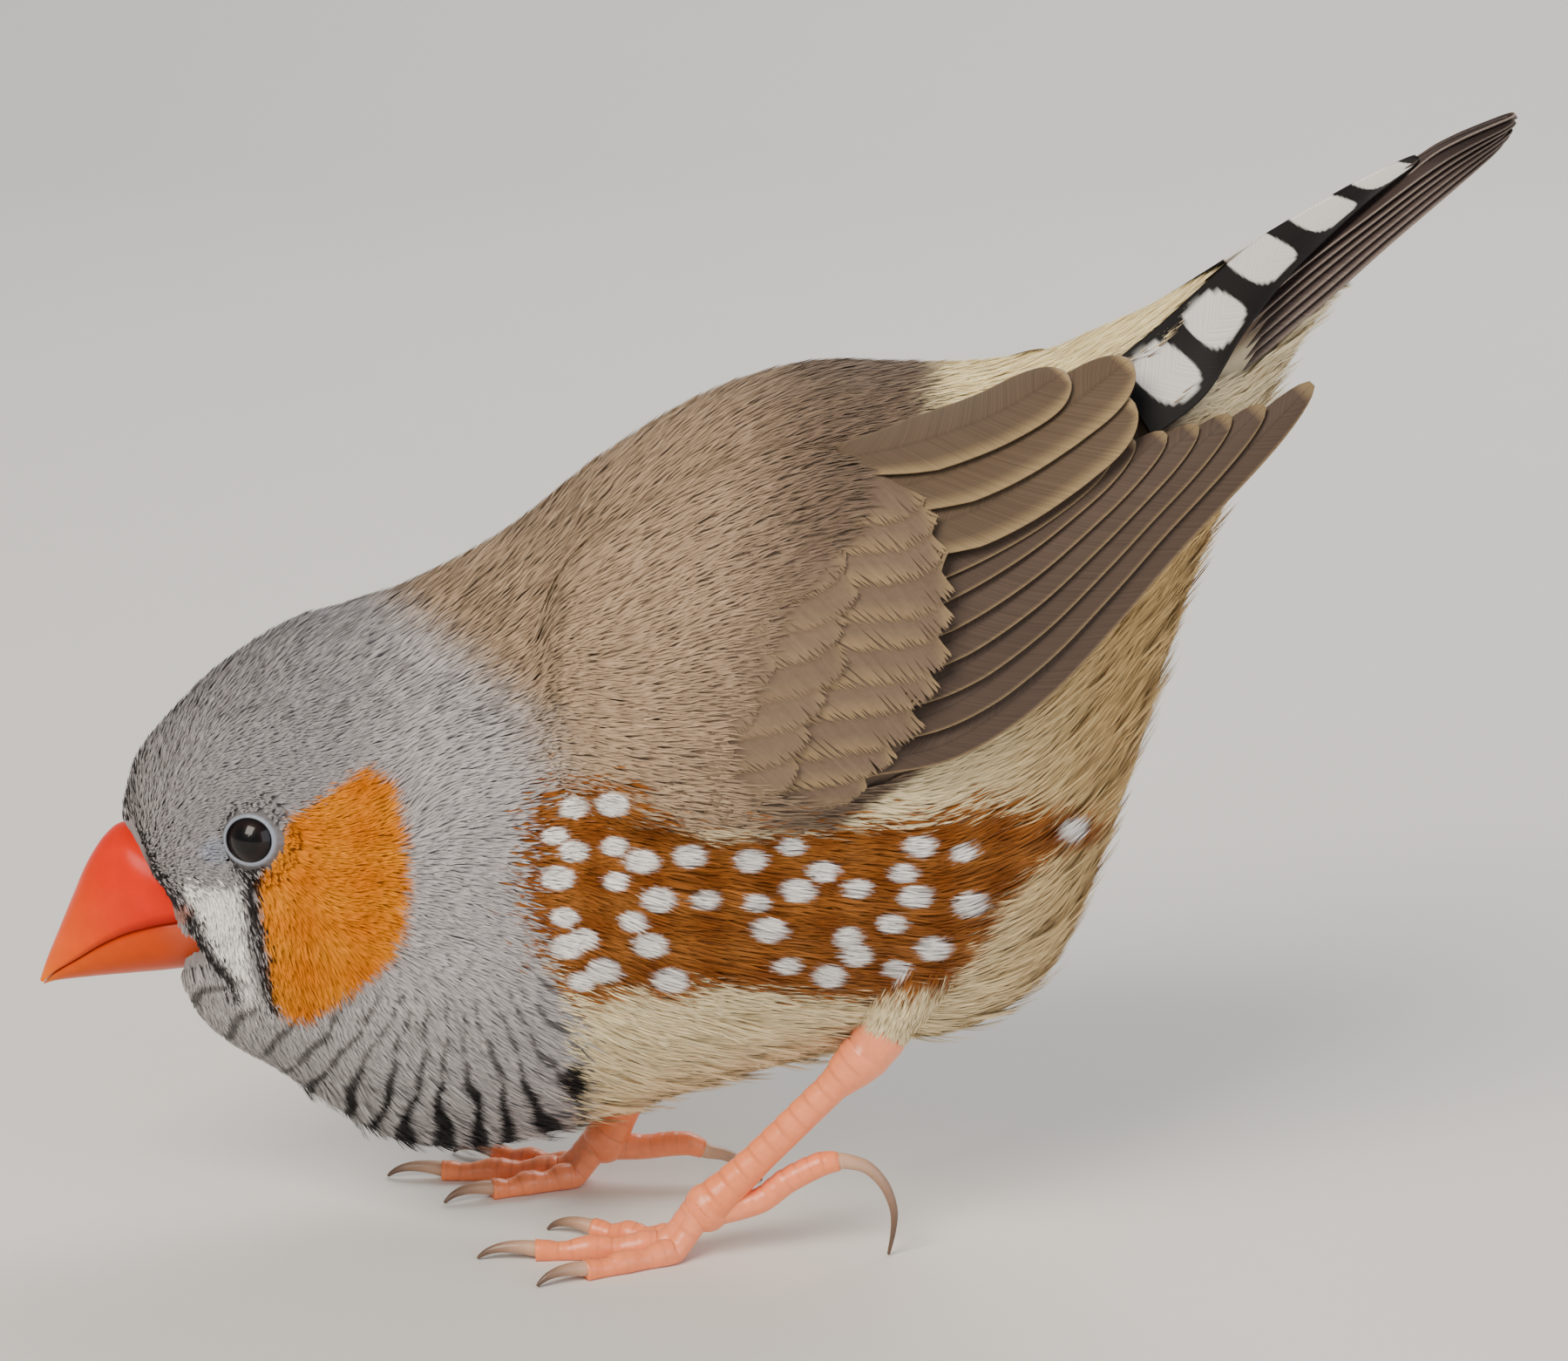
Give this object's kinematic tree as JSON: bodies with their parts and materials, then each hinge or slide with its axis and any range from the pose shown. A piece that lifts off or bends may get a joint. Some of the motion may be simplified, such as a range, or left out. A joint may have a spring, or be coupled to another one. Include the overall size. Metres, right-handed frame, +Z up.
{
  "type": "male zebra finch",
  "caption": "Small perching bird at life size, crouched on its feet with the head low and the tail raised; a still model with overlapping wing and tail feathers.",
  "frame": {"origin": "middle of the bounding box in plan, on the floor", "axes": "+X runs back from the bill towards the tail, +Y towards the bird's right side, +Z up"},
  "size_m": [0.0932, 0.0404, 0.0715],
  "materials": {
    "head": "grey feathers, matt",
    "neck": "grey feathers, matt",
    "torso": "brown feathers, matt",
    "rump": "cream feathers, matt",
    "tail": "dark feathers, satin",
    "wing": "brown feathers, satin",
    "thigh": "cream feathers, matt",
    "bill_upper": "red horn, glossy",
    "bill_lower": "orange-red horn, glossy",
    "eye": "dark wet eye",
    "leg": "scaled orange skin, satin",
    "claw": "pale horn, satin"
  },
  "bodies": {
    "root": {"bill_lower": "bill_lower", "bill_upper": "bill_upper", "claw_left_hind": "claw", "claw_left_inner": "claw", "claw_left_middle": "claw", "claw_left_outer": "claw", "claw_right_hind": "claw", "claw_right_inner": "claw", "claw_right_middle": "claw", "claw_right_outer": "claw", "eye_left": "eye", "eye_right": "eye", "foot_left": "leg", "foot_right": "leg", "head": "head", "neck": "neck", "rump": "rump", "shank_left": "leg", "shank_right": "leg", "tail": "tail", "thigh_left": "thigh", "thigh_right": "thigh", "torso": "torso", "wing_left": "wing", "wing_right": "wing"}
  },
  "joints": []
}
